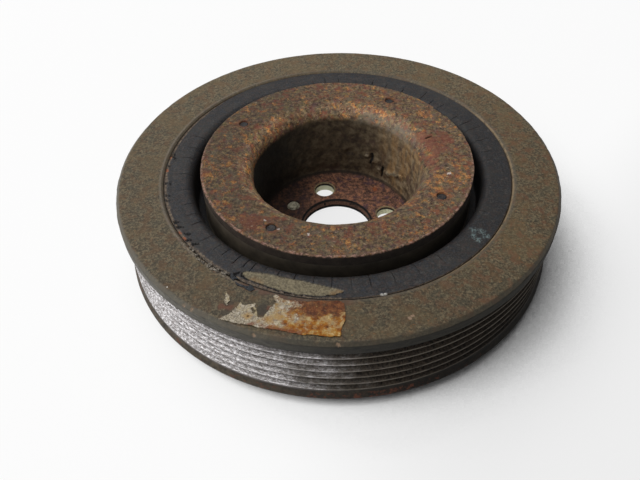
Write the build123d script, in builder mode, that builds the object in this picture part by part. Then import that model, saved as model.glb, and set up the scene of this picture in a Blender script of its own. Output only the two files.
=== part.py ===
from build123d import *
from math import cos, radians, sin
import os

# Harmonic balancer of a crankshaft: a pressed hub, a rubber spring moulded onto it, and a heavy
# grooved ring for a poly-V belt bonded round the rubber.
# Millimetres. The shaft axis is Z. The hub's bolting face is at z = 0 and the front faces +Z.

# ---- driving dimensions: hub pressing ----
sheet_t = 4.0          # thickness of the sheet
hub_h = 38.5           # bolting face to front face
screw_room = 10.25     # from the bolt circle to the cup's wall, for a screw's head and its socket
cup_corner = 3.0       # inside corner between the cup's wall and its floor
mouth_round = 7.0      # round-over from the front disc into the cup
mouth_bevel = 2.2      # the same bend on its hidden side
disc_w = 12.25         # flat of the front disc, from the round-over to the disc's edge
rim_chamfer = 0.4      # outer edge of the front disc
collar_t = 4.0         # wall of the collar that is turned back under the disc
collar_end = 8.5       # height of the collar's free end

# ---- driving dimensions: holes in the hub ----
index_angle = 14.0     # angle of the first bolt hole, from +X
bore_d = 28.0          # centring bore
bolt_pcd = 43.0
bolt_count = 4
bolt_d = 8.2
dowel_d = 5.6          # locating hole, half way between two bolt holes
pin_inset = 8.0        # from the disc's edge to the circle of small moulding holes
pin_count = 4
pin_d = 3.6
bore_chamfer = 0.5
bolt_chamfer = 0.4

# ---- driving dimensions: grooved ring ----
ring_d = 165.0         # over the belt flanges
ring_back = 4.5        # height of the ring's back face above the bolting face
recess_w = 8.0         # width of the shallow seat for the rubber's skin, in both faces
recess_depth = 1.2
recess_chamfer = 0.9
front_flange_w = 5.2
front_edge_chamfer = 1.2
back_edge_chamfer = 0.5
back_edge_w = 1.1      # straight part of the back flange's edge
flange_step = 1.0      # how far the flanges stand proud of the ribs
flank_rise = 0.5       # slope under the front flange
back_flange_w = 3.04
groove_count = 6
rib_pitch = 3.56       # PK profile
rib_angle = 40.0
rib_flat = 0.5         # width of a rib's crest
groove_depth = 2.9
land_w = 0.9           # plain land between the last groove and the back flange

# ---- driving dimensions: rubber ----
rubber_w = 6.0         # between the disc's edge and the ring's bore
skin_t = 1.0           # rubber over the collar and under the disc
face_drop = 0.4        # rubber's faces below the ring's faces
groove_w = 3.2         # width of the moulded grooves, next to the collar
lip_round = 3.5        # roll-off of the front lip
back_lip_bevel = 2.0
groove_corner = 0.9    # bevel in the bottom of the moulded grooves
front_groove = 13.0    # depth of the moulded groove in front
back_groove = 9.0      # and at the back
plug_drop = 0.8        # rubber in the moulding holes, below the disc's face

# ---- driving dimensions: paper label ----
label_t = 0.15
label_margin = 1.0     # bare metal left inside and outside the widest part of the paper

# The torn outline: (angle in degrees, share of the way from the label's inner to its outer radius).
label_tear = [
    (-115.2, 0.98),
    (-113.0, 0.72),
    (-113.8, 0.55),
    (-111.0, 0.08),
    (-108.4, 0.16),
    (-106.8, 0.05),
    (-100.1, 0.00),
    (-94.1, 0.08),
    (-88.3, 0.10),
    (-87.7, 0.50),
    (-88.1, 1.00),
    (-92.0, 0.96),
    (-95.2, 0.88),
    (-98.6, 0.92),
    (-103.0, 0.84),
    (-106.6, 0.93),
    (-110.3, 0.90),
]

# ---- values worked out from them ----
cup_r = bolt_pcd / 2 + screw_room
cup_out = cup_r + sheet_t
hub_r = cup_r + mouth_round + disc_w
lining_in = cup_out + mouth_bevel
disc_under = hub_h - sheet_t
collar_r = hub_r - skin_t
collar_in = collar_r - collar_t
pin_r = hub_r - pin_inset

ring_r = ring_d / 2
ring_bore_r = hub_r + rubber_w
recess_r = ring_bore_r + recess_w
rib_r = ring_r - flange_step
field_bottom = ring_back + back_flange_w + land_w
field_top = field_bottom + groove_count * rib_pitch
ring_front = field_top + front_flange_w
back_seat = ring_back + recess_depth
front_seat = ring_front - recess_depth

lip_r = hub_r + groove_w
rubber_back = ring_back + face_drop
rubber_front = ring_front - face_drop
groove_floor = rubber_front - front_groove
groove_roof = rubber_back + back_groove

label_in = recess_r + recess_chamfer + label_margin
label_out = ring_r - front_edge_chamfer - label_margin


def points(outline):
    """The corners of an outline given as (radius, height, corner rounding)."""
    return [(r, z) for r, z, rounding in outline]


def roundings(outline):
    """The corner roundings of the same outline."""
    return [rounding for r, z, rounding in outline]


def rims(part, radius, height):
    """The circular edges of one radius that lie at one height."""
    return [
        edge
        for edge in part.edges().filter_by(GeomType.CIRCLE)
        if abs(edge.radius - radius) < 0.01 and abs(edge.arc_center.Z - height) < 0.01
    ]


# ---- hub: cup with a bolting floor, front disc, and a collar turned back from its edge ----
hub_outline = [
    (bore_d / 2, 0, 0),
    (bore_d / 2, sheet_t, 0),
    (cup_r, sheet_t, cup_corner),
    (cup_r, hub_h, mouth_round),
    (hub_r, hub_h, 0),
    (hub_r, disc_under, 0),
    (collar_r, disc_under, 0),
    (collar_r, collar_end, 0),
    (collar_in, collar_end, 0),
    (collar_in, disc_under, 0),
    (cup_out, disc_under, 0),
    (cup_out, 0, cup_corner + sheet_t),
]

with BuildPart() as hub:
    with BuildSketch(Plane.XZ):
        with BuildLine():
            FilletPolyline(*points(hub_outline), radius=roundings(hub_outline), close=True)
        make_face()
    revolve(axis=Axis.Z)
    with BuildSketch(Plane.XY):
        with PolarLocations(bolt_pcd / 2, bolt_count, start_angle=index_angle):
            Circle(bolt_d / 2)
        with PolarLocations(bolt_pcd / 2, 1, start_angle=index_angle + 135):
            Circle(dowel_d / 2)
    extrude(amount=sheet_t, mode=Mode.SUBTRACT)
    with BuildSketch(Plane.XY.offset(disc_under)):
        with PolarLocations(pin_r, pin_count, start_angle=index_angle + 45):
            Circle(pin_d / 2)
    extrude(amount=sheet_t, mode=Mode.SUBTRACT)
    chamfer(rims(hub, hub_r, hub_h), rim_chamfer)
    chamfer(rims(hub, cup_out, disc_under), mouth_bevel)
    chamfer(rims(hub, bore_d / 2, sheet_t), bore_chamfer)
    chamfer(rims(hub, bolt_d / 2, sheet_t), bolt_chamfer)
hub.part.label = "hub"

# ---- grooved ring: inertia mass and belt pulley in one casting ----
ring_outline = [
    (ring_bore_r, back_seat, 0),
    (recess_r, back_seat, 0),
    (recess_r, ring_back, 0),
    (ring_r, ring_back, 0),
    (ring_r, ring_back + back_edge_w, 0),
    (rib_r, field_bottom - land_w, 0),
    (rib_r, field_top, 0),
    (ring_r, field_top + flank_rise, 0),
    (ring_r, ring_front, 0),
    (recess_r, ring_front, 0),
    (recess_r, front_seat, 0),
    (ring_bore_r, front_seat, 0),
]

with BuildPart() as pulley_ring:
    with BuildSketch(Plane.XZ):
        with BuildLine():
            FilletPolyline(*points(ring_outline), radius=roundings(ring_outline), close=True)
        make_face()
    revolve(axis=Axis.Z)
    with BuildSketch(Plane.XZ):
        for number in range(groove_count):
            with Locations((rib_r, field_top - (number + 0.5) * rib_pitch)):
                Trapezoid(
                    rib_pitch - rib_flat,
                    groove_depth,
                    90 - rib_angle / 2,
                    rotation=90,
                    align=(Align.CENTER, Align.MIN),
                )
    revolve(axis=Axis.Z, mode=Mode.SUBTRACT)
    chamfer(rims(pulley_ring, ring_r, ring_front), front_edge_chamfer)
    chamfer(rims(pulley_ring, ring_r, ring_back), back_edge_chamfer)
    chamfer(rims(pulley_ring, recess_r, ring_front), recess_chamfer)
    chamfer(rims(pulley_ring, recess_r, ring_back), recess_chamfer)
pulley_ring.part.label = "pulley_ring"

# ---- rubber: U-shaped spring between collar and ring, with a skin over both ----
rubber_outline = [
    (recess_r, front_seat, 0),
    (recess_r, rubber_front, 0),
    (lip_r, rubber_front, lip_round),
    (lip_r, groove_floor + groove_corner, 0),
    (lip_r - groove_corner, groove_floor, 0),
    (hub_r + groove_corner, groove_floor, 0),
    (hub_r, groove_floor + groove_corner, 0),
    (hub_r, disc_under, 0),
    (collar_r, disc_under, 0),
    (collar_r, collar_end, 0),
    (collar_in, collar_end, 0),
    (collar_in, disc_under, 0),
    (lining_in, disc_under, 0),
    (lining_in, disc_under - skin_t, 0),
    (collar_in - skin_t, disc_under - skin_t, 0),
    (collar_in - skin_t, collar_end - skin_t, 0),
    (hub_r, collar_end - skin_t, 0),
    (hub_r, groove_roof - groove_corner, 0),
    (hub_r + groove_corner, groove_roof, 0),
    (lip_r - groove_corner, groove_roof, 0),
    (lip_r, groove_roof - groove_corner, 0),
    (lip_r, rubber_back + back_lip_bevel, 0),
    (lip_r + back_lip_bevel, rubber_back, 0),
    (recess_r, rubber_back, 0),
    (recess_r, back_seat, 0),
    (ring_bore_r, back_seat, 0),
    (ring_bore_r, front_seat, 0),
]

with BuildPart() as rubber:
    with BuildSketch(Plane.XZ):
        with BuildLine():
            FilletPolyline(*points(rubber_outline), radius=roundings(rubber_outline), close=True)
        make_face()
    revolve(axis=Axis.Z)
    with BuildSketch(Plane.XY.offset(disc_under)):
        with PolarLocations(pin_r, pin_count, start_angle=index_angle + 45):
            Circle(pin_d / 2)
    extrude(amount=sheet_t - plug_drop)
rubber.part.label = "rubber_spring"

# ---- what is left of a paper label on the ring's front face ----
with BuildPart() as label:
    with BuildSketch(Plane.XY.offset(ring_front)):
        with BuildLine():
            torn = []
            for angle, share in label_tear:
                radius = label_in + share * (label_out - label_in)
                torn.append((radius * cos(radians(angle)), radius * sin(radians(angle))))
            Polyline(*torn, close=True)
        make_face()
    extrude(amount=label_t)
label.part.label = "label_remnant"

os.makedirs("parts", exist_ok=True)
export_step(hub.part, "parts/hub.step")
export_step(pulley_ring.part, "parts/pulley_ring.step")
export_step(rubber.part, "parts/rubber_spring.step")
export_step(label.part, "parts/label_remnant.step")
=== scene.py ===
"""Looks of a used harmonic balancer: a rusted pressed hub, cracked black rubber, an oxidised ring with
belt-polished ribs, and what is left of a paper label.

Sizes are in millimetres, angles in degrees from +X and colours in sRGB from 0 to 255, unless a name says
otherwise. MM turns sizes into Blender's metres.
"""

import math
from types import SimpleNamespace

import bpy
import numpy as np
from mathutils import Matrix, Vector, noise


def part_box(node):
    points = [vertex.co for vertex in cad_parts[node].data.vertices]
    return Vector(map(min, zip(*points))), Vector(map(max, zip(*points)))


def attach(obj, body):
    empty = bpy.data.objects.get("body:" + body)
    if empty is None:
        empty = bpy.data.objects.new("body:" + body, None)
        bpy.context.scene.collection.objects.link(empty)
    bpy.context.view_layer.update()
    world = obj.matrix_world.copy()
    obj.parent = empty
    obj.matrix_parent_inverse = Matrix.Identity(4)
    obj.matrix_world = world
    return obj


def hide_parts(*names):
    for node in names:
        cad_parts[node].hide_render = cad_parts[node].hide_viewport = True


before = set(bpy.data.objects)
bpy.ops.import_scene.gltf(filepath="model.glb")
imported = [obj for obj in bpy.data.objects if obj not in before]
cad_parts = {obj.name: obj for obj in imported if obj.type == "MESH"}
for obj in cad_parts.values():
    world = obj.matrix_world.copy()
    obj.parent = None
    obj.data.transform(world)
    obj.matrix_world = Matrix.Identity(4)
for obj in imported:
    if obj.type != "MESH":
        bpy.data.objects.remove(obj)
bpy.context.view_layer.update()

MM = 0.001

# ---- sizes that the frame gives ----
hub_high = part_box("hub")[1]
ring_low, ring_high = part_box("pulley_ring")
rubber_low, rubber_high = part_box("rubber_spring")
HUB_TOP, HUB_R = hub_high.z / MM, hub_high.x / MM
RING_BACK, RING_FRONT, RING_R = ring_low.z / MM, ring_high.z / MM, ring_high.x / MM
RUBBER_BACK, SEAT_R = rubber_low.z / MM, rubber_high.x / MM

# ---- sizes inside the nodes, as the CAD has them ----
SHEET = 4.0
BORE_R = 14.0
CUP_R = 31.75
MOUTH_ROUND = 7.0
MOUTH_BEVEL = 2.2
BOLT_CIRCLE_R, BOLT_R, DOWEL_R = 21.5, 4.1, 2.8
PIN_CIRCLE_R, PIN_R, PLUG_DROP = 43.0, 1.8, 0.8
BOLT_ANGLES = [14, 104, 194, 284]
DOWEL_ANGLE = 149
PIN_ANGLES = [59, 149, 239, 329]
COLLAR_R, COLLAR_IN, COLLAR_END = 50.0, 46.0, 8.5
SKIN = 1.0
DISC_UNDER = HUB_TOP - SHEET
RING_BORE_R = 57.0
SEAT_DEPTH, SEAT_CHAMFER, EDGE_CHAMFER = 1.2, 0.9, 1.2
RIB_R, RIB_FLAT, GROOVE_FLAT = 81.5, 0.5, 0.92
FIELD_TOP, FIELD_BOTTOM = 29.8, 8.44
GROOVES, PITCH, GROOVE_DEPTH = 6, 3.56, 2.9
RUBBER_FRONT = RING_FRONT - 0.4
LIP_R, LIP_ROUND = 54.2, 3.5
GROOVE_FLOOR, GROOVE_ROOF, GROOVE_CORNER = 21.6, 13.9, 0.9

# ---- camera, lamp and table ----
CAMERA_AT = (0.0, -191.05, 191.63)
CAMERA_AIM = (-5.784, -38.91, 34.0)
CAMERA_ROLL = 2.08
CAMERA_LENS, CAMERA_SENSOR = 36.39, 36.0
LAMP_AT, LAMP_SIZE, LAMP_POWER = (-560, 40, 1400), 1700, 16.0
TABLE = (241, 241, 241)
TABLE_SEEN = (121.7, 121.7, 121.7)
TABLE_GLOW = 0.805
SHADOW_REACH, SHADOW_FROM = 50, (-0.75, 0.1, 0.65)

# ---- what time has done: places are (angle, radius), and in the cup (angle, height) or with a size ----
RIM_DENTS = [(-125.7, 82.2), (-123.4, 82.0), (-107.8, 82.2), (-90.0, 81.8)]
DENT_SIZES = [1.0, 0.7, 1.1, 1.2]
CUP_SCABS = [(65.3, 16.4, 2.0), (61, 13.5, 1.7), (57.3, 14.4, 1.9), (54, 11.1, 2.0), (48, 10.5, 1.9)]
CUP_SCABS += [(45.2, 10.9, 2.2), (38.4, 12.8, 2.3), (33, 13.5, 1.6)]
CUP_FLAKES = [(65.3, 16.4, 1.1), (54, 11.1, 1.0), (45.2, 10.9, 1.5), (38.4, 12.8, 1.7), (41.5, 11.6, 1.2)]
CUP_SPLITS = [[(61.6, 17.1), (61, 15), (62.6, 11.9)], [(51.1, 12.4), (51.6, 9.9), (52.5, 7.3)]]
CUP_DIMPLE = (80.6, 15.9, 2.2)
RED_PATCH = [(9.9, 37.8), (20.1, 35.4), (-2.2, 33.8), (13, 42), (-131, 44.5)]
RUST_PATCH = [(-17.2, 43.5), (-10.1, 47.6), (-22, 39.2), (-7.1, 45), (-29.2, 40)]
OCHRE_PATCH = [(-148.3, 47.2), (-167.7, 47.8), (-138.6, 47.5), (-126.8, 42.5), (39.6, 44.1), (84.9, 43.5)]
OCHRE_PATCH += [(-103.5, 41)]
PALE_FLECKS = [(-13.5, 42.3), (-14.4, 41.8), (-103.1, 41.4), (-117.3, 42.6), (-126.1, 41.5)]
FRONT_CRACKS = [-176, -167, -158.8, -153, -148, -139.4, -133.6, -129.8, -124.6, -121, -118.1, -113.8]
FRONT_CRACKS += [-109.3, -103.7, -97.5, -91.7, -85.5, -79.8, -72.2, -64, -55, -46, -27, -13]
TORN_PITS = [(172.4, 64.3), (174.5, 63.4), (178.9, 64.2), (-171.6, 63.4), (-165.5, 63.9), (-163.1, 64.2)]
TORN_PITS += [(-151.7, 63.5), (-149.1, 63.4), (-144.8, 62.6), (-142.5, 63.9), (-139.6, 63.1), (-121, 63.2)]
STRIP_INNER = [(-119.7, 61.9), (-119.4, 61.1), (-118.7, 60.6), (-116.2, 59.8), (-112.3, 58.7)]
STRIP_INNER += [(-107.4, 58.4), (-101.7, 58.4), (-95.9, 59.3), (-90.8, 60.5), (-88.2, 61.6)]
STRIP_OUTER = [(-119.7, 62.0), (-119.3, 62.6), (-117.2, 63.2), (-112.0, 63.2), (-105.6, 63.8)]
STRIP_OUTER += [(-101.0, 63.9), (-97.2, 63.8), (-93.5, 63.5), (-90.4, 62.8), (-88.2, 61.8)]
LABEL_EDGE = [(-116.6, 81.3), (-114.7, 77.5), (-114.3, 72.6), (-113.6, 73.4), (-112.5, 73.2)]
LABEL_EDGE += [(-110.5, 71.2), (-109.7, 73.7), (-108.6, 76.1), (-107.4, 75.6), (-106.7, 71.8)]
LABEL_EDGE += [(-105.8, 69.4), (-107.3, 67.2), (-106.8, 66.2), (-104.2, 67.6), (-98.1, 66.8)]
LABEL_EDGE += [(-93.7, 66.2), (-89.6, 66.1), (-88.1, 67.5), (-88.0, 72.0), (-89.0, 76.6), (-89.4, 79.7)]
LABEL_EDGE += [(-96.2, 79.5), (-102.6, 79.2), (-108.5, 79.8)]
LABEL_SCRAP = [(-119.2, 71.9), (-117.9, 71.9), (-117, 73.6), (-116.7, 75.8), (-117.6, 75.2), (-118.4, 73.8)]
RUBBER_SHRED = [(-122.4, 64.2), (-120.0, 64.4), (-117.5, 65.0), (-115.0, 65.7), (-113.0, 66.8)]
RUBBER_SHRED += [(-113.4, 67.7), (-115.6, 67.7), (-118.8, 66.9), (-121.4, 66.0)]
RUBBER_FRAY = [(-141, 64.8), (-135, 65.0), (-129, 64.9), (-122.5, 64.6), (-122.0, 65.8), (-127.5, 66.9)]
RUBBER_FRAY += [(-133, 66.8), (-138, 65.9)]

# ---- helpers: shapes ----


def smooth(value, low, high):
    """0 at low and 1 at high, which may be the smaller, with a soft ramp between them."""
    share = np.clip((value - low) / (high - low), 0, 1)
    return share * share * (3 - 2 * share)


def lumps(points, size, octaves, seed):
    """Fractal noise, about -1 to 1, with lumps of that size, at an array of points."""
    shift = Vector((seed * 31.7, seed * 17.3, seed * 5.1))
    return np.array([noise.fractal(Vector(p) / size + shift, 1.0, 2.0, octaves) for p in points])


def spoke(angle, radius, height=0.0):
    """The point at an angle, a radius and a height, from where the shaft's axis meets the table."""
    turn = math.radians(angle)
    return np.array([radius * math.cos(turn), radius * math.sin(turn), height])


def turn_from(angle, start):
    """How far an angle is from another, -180 to 180."""
    return (angle - start + 180) % 360 - 180


def rounded(corners, arc_step=0.45):
    """Points along a closed outline of (radius, height, rounding, spacing) corners.

    The spacing is the longest step along the run that follows the corner.
    """
    arcs = []
    for k, (radius, height, rounding, _) in enumerate(corners):
        here = np.array([radius, height])
        back = np.array(corners[k - 1][:2]) - here
        on = np.array(corners[(k + 1) % len(corners)][:2]) - here
        back, on = back / np.linalg.norm(back), on / np.linalg.norm(on)
        if not rounding:
            arcs.append([here])
            continue
        half = math.acos(np.clip(-back @ on, -1, 1)) / 2
        centre = here + (back + on) / np.linalg.norm(back + on) * rounding / math.cos(half)
        start, end = here + back * rounding * math.tan(half), here + on * rounding * math.tan(half)
        steps = max(2, math.ceil(2 * half * rounding / arc_step))
        arc = []
        for t in np.linspace(0, 1, steps + 1):
            way = (start - centre) * math.sin((1 - t) * 2 * half) + (end - centre) * math.sin(t * 2 * half)
            arc.append(centre + way / math.sin(2 * half))
        arcs.append(arc)
    points = []
    for k, arc in enumerate(arcs):
        points += arc
        end, start = arcs[(k + 1) % len(arcs)][0], arc[-1]
        steps = max(1, math.ceil(np.linalg.norm(end - start) / corners[k][3]))
        points += [start + (end - start) * n / steps for n in range(1, steps)]
    return np.array(points)


def made(name, points, faces):
    """A new object of points in millimetres."""
    mesh = bpy.data.meshes.new(name)
    mesh.from_pydata((np.asarray(points, float) * MM).tolist(), [], faces)
    mesh.update()
    piece = bpy.data.objects.new(name, mesh)
    bpy.context.scene.collection.objects.link(piece)
    return piece


def soften(piece, angle=35):
    """Smooth shading, apart from edges that turn by more than the angle."""
    piece.data.shade_smooth()
    piece.data.set_sharp_from_angle(angle=math.radians(angle))


def paint(piece, name, values):
    """A number for each point, which the finish reads by name."""
    piece.data.attributes.new(name, "FLOAT", "POINT").data.foreach_set("value", values.astype(np.float32))


def spun(name, corners, angles, sink, marks=None):
    """A ring: an outline turned about the axis, with its surface sunk by sink(place).

    The place holds each point's position, radius, height and angle, and the marks, which stay on the
    mesh for the finish to read.
    """
    rows = rounded(corners)
    following = np.roll(rows, -1, 0)
    if (rows[:, 0] * following[:, 1] - following[:, 0] * rows[:, 1]).sum() < 0:
        rows = rows[::-1]
    side = np.roll(rows, -1, 0) - np.roll(rows, 1, 0)
    out = np.stack([side[:, 1], -side[:, 0]], 1) / np.linalg.norm(side, axis=1, keepdims=True)
    turn = np.radians(angles)
    spokes = np.stack([np.cos(turn), np.sin(turn), np.zeros(len(turn))], 1)

    def sweep(flat):
        points = spokes[:, None, :] * flat[None, :, :1] + np.array([0, 0, 1]) * flat[None, :, 1:]
        return points.reshape(-1, 3)

    place = SimpleNamespace(at=sweep(rows), angle=np.repeat(angles, len(rows)))
    place.radius = np.tile(rows[:, 0], len(angles))
    place.height = np.tile(rows[:, 1], len(angles))
    found = marks(place) if marks else {}
    vars(place).update(found)
    points = place.at - sweep(out) * sink(place)[:, None]
    column = np.arange(len(angles))[:, None] * len(rows)
    row = np.arange(len(rows))[None, :]
    after = np.roll(column, -1, 0)
    up = (row + 1) % len(rows)
    faces = np.stack([column + row, after + row, after + up, column + up], -1).reshape(-1, 4)
    piece = made(name, points, faces.tolist())
    soften(piece)
    for mark, values in found.items():
        paint(piece, mark, values)
    return piece


def cut(piece, cutters):
    """Takes the cutters out of the piece and deletes them."""
    for cutter in cutters:
        change = piece.modifiers.new("cut", "BOOLEAN")
        change.operation, change.solver, change.object = "DIFFERENCE", "EXACT", cutter
    bpy.context.view_layer.update()
    mesh = bpy.data.meshes.new_from_object(piece.evaluated_get(bpy.context.evaluated_depsgraph_get()))
    piece.modifiers.clear()
    piece.data = mesh
    for cutter in cutters:
        bpy.data.objects.remove(cutter)
    soften(piece)


def turned(name, outline, place, sides=40):
    """A solid of revolution at place. Its (radius, height) outline starts and ends on the axis."""
    inner = outline[1:-1]
    points = [place + spoke(360 * k / sides, *corner) for k in range(sides) for corner in inner]
    points += [place + np.array([0, 0, height]) for _, height in (outline[0], outline[-1])]
    count, faces = len(inner), []
    for k in range(sides):
        a, b = k * count, (k + 1) % sides * count
        faces += [[a + n, b + n, b + n + 1, a + n + 1] for n in range(count - 1)]
        faces += [[sides * count, b, a], [sides * count + 1, a + count - 1, b + count - 1]]
    return made(name, points, faces)


def inside(outline, angle, radius):
    """Which of the polar places lie in a closed polar outline."""
    found = np.zeros(len(angle), bool)
    for k, (a1, r1) in enumerate(outline):
        a0, r0 = outline[k - 1]
        crosses = (a0 > angle) != (a1 > angle)
        slope = (r1 - r0) / (a1 - a0) if a1 != a0 else 0
        found ^= crosses & (radius < r0 + (angle - a0) * slope)
    return found


def edge_distance(quads, count, cells=4):
    """For each point, 0 on the sheet's edge and 1 from so many cells inside it."""
    near = np.full(count, float(cells))
    near[np.bincount(quads.ravel(), minlength=count) < 4] = 0
    for _ in range(cells):
        lowest = near[quads].min(1) + 1
        for k in range(4):
            np.minimum.at(near, quads[:, k], lowest)
    return near / cells


def flake(name, outline, step, ragged, top, thickness, keep=None):
    """A torn sheet on the ring: cells of a polar grid inside an outline with a ragged edge.

    top(radius, edge, points) is the height of the upper side, where edge is 0 on the sheet's edge, and
    keep(angle, radius, points) says which points stay, for a sheet with holes.
    """
    places = np.array(outline)
    middle_r = places[:, 1].mean()
    turn = math.degrees(step / middle_r)
    angles = np.arange(places[:, 0].min() - turn, places[:, 0].max() + 2 * turn, turn)
    radii = np.arange(places[:, 1].min() - step, places[:, 1].max() + 2 * step, step)
    grid_a, grid_r = (g.ravel() for g in np.meshgrid(angles, radii, indexing="ij"))
    points = np.array([spoke(a, r) for a, r in zip(grid_a, grid_r)])
    shift_a, shift_r = (lumps(points, 2.2, 4, seed) * ragged for seed in (3, 4))
    holds = inside(outline, grid_a + np.degrees(shift_a / middle_r), grid_r + shift_r)
    if keep:
        holds &= keep(grid_a, grid_r, points)
    rows = len(radii)
    cell = np.array([i * rows + j for i in range(len(angles) - 1) for j in range(rows - 1)])
    corner = np.stack([cell, cell + rows, cell + rows + 1, cell + 1], 1)
    corner = corner[holds[corner].sum(1) >= 3]
    used = np.unique(corner)
    quads = np.searchsorted(used, corner)
    edge = edge_distance(quads, len(used))
    upper = points[used] + np.array([0, 0, 1]) * top(grid_r[used], edge, points[used])[:, None]
    lower = upper - np.array([0, 0, thickness])
    sides = [(quad[k], quad[(k + 1) % 4]) for quad in quads.tolist() for k in range(4)]
    shared = set(sides)
    walls = [[b, a, a + len(used), b + len(used)] for a, b in sides if (b, a) not in shared]
    faces = quads.tolist() + (quads[:, ::-1] + len(used)).tolist() + walls
    piece = made(name, np.vstack([upper, lower]), faces)
    soften(piece, 60)
    paint(piece, "edge", np.concatenate([edge, edge]))
    return piece


# ---- helpers: finishes ----


def linear(red, green, blue):
    """An sRGB colour as Blender's linear one, with alpha."""
    parts = [c / 255 for c in (red, green, blue)]
    return (*(c / 12.92 if c <= 0.04045 else ((c + 0.055) / 1.055) ** 2.4 for c in parts), 1.0)


class Nodes:
    """A node tree. Its calls take and give sockets, and take numbers too."""

    def __init__(self, tree):
        self.tree = tree

    def add(self, kind, **inputs):
        node = self.tree.nodes.new(kind)
        for name, value in inputs.items():
            self.put(node.inputs[name.replace("_", " ")], value)
        return node

    def put(self, socket, value):
        if isinstance(value, bpy.types.NodeSocket):
            self.tree.links.new(value, socket)
        else:
            socket.default_value = value

    def math(self, operation, *values):
        node = self.add("ShaderNodeMath")
        node.operation = operation
        for socket, value in zip(node.inputs, values):
            self.put(socket, value)
        return node.outputs[0]

    def vector(self, operation, *values, scale=None):
        node = self.add("ShaderNodeVectorMath")
        node.operation = operation
        for socket, value in zip(node.inputs, values):
            self.put(socket, value)
        if scale is not None:
            self.put(node.inputs["Scale"], scale)
        return node.outputs["Value" if operation in ("LENGTH", "DISTANCE") else "Vector"]

    def both(self, *masks):
        """The product of masks and numbers."""
        result = masks[0]
        for mask in masks[1:]:
            result = self.math("MULTIPLY", result, mask)
        return result

    def either(self, *masks):
        """The largest of the masks."""
        result = masks[0]
        for mask in masks[1:]:
            result = self.math("MAXIMUM", result, mask)
        return result

    def plus(self, base, value, factor):
        """The base with factor times the value added."""
        return self.math("MULTIPLY_ADD", value, factor, base)

    def span(self, value, low, high, first, last, kind="SMOOTHSTEP"):
        """From first at low to last at high."""
        limits = {"From_Min": low, "From_Max": high, "To_Min": first, "To_Max": last}
        node = self.add("ShaderNodeMapRange", Value=value, **limits)
        node.interpolation_type = kind
        return node.outputs[0]

    def step(self, value, low, high):
        """0 at low and 1 at high, which may be the smaller."""
        if low < high:
            return self.span(value, low, high, 0.0, 1.0)
        return self.span(value, high, low, 1.0, 0.0)

    def band(self, value, low, high, soft):
        """1 between low and high, with soft ends."""
        above = self.step(value, low - soft, low + soft)
        return self.both(above, self.step(value, high + soft, high - soft))

    def mix(self, share, base, over):
        node = self.add("ShaderNodeMix")
        node.data_type = "RGBA"
        self.put(node.inputs["Factor"], share)
        self.put(node.inputs["A"], linear(*base) if isinstance(base, tuple) else base)
        self.put(node.inputs["B"], linear(*over) if isinstance(over, tuple) else over)
        return node.outputs["Result"]


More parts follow.
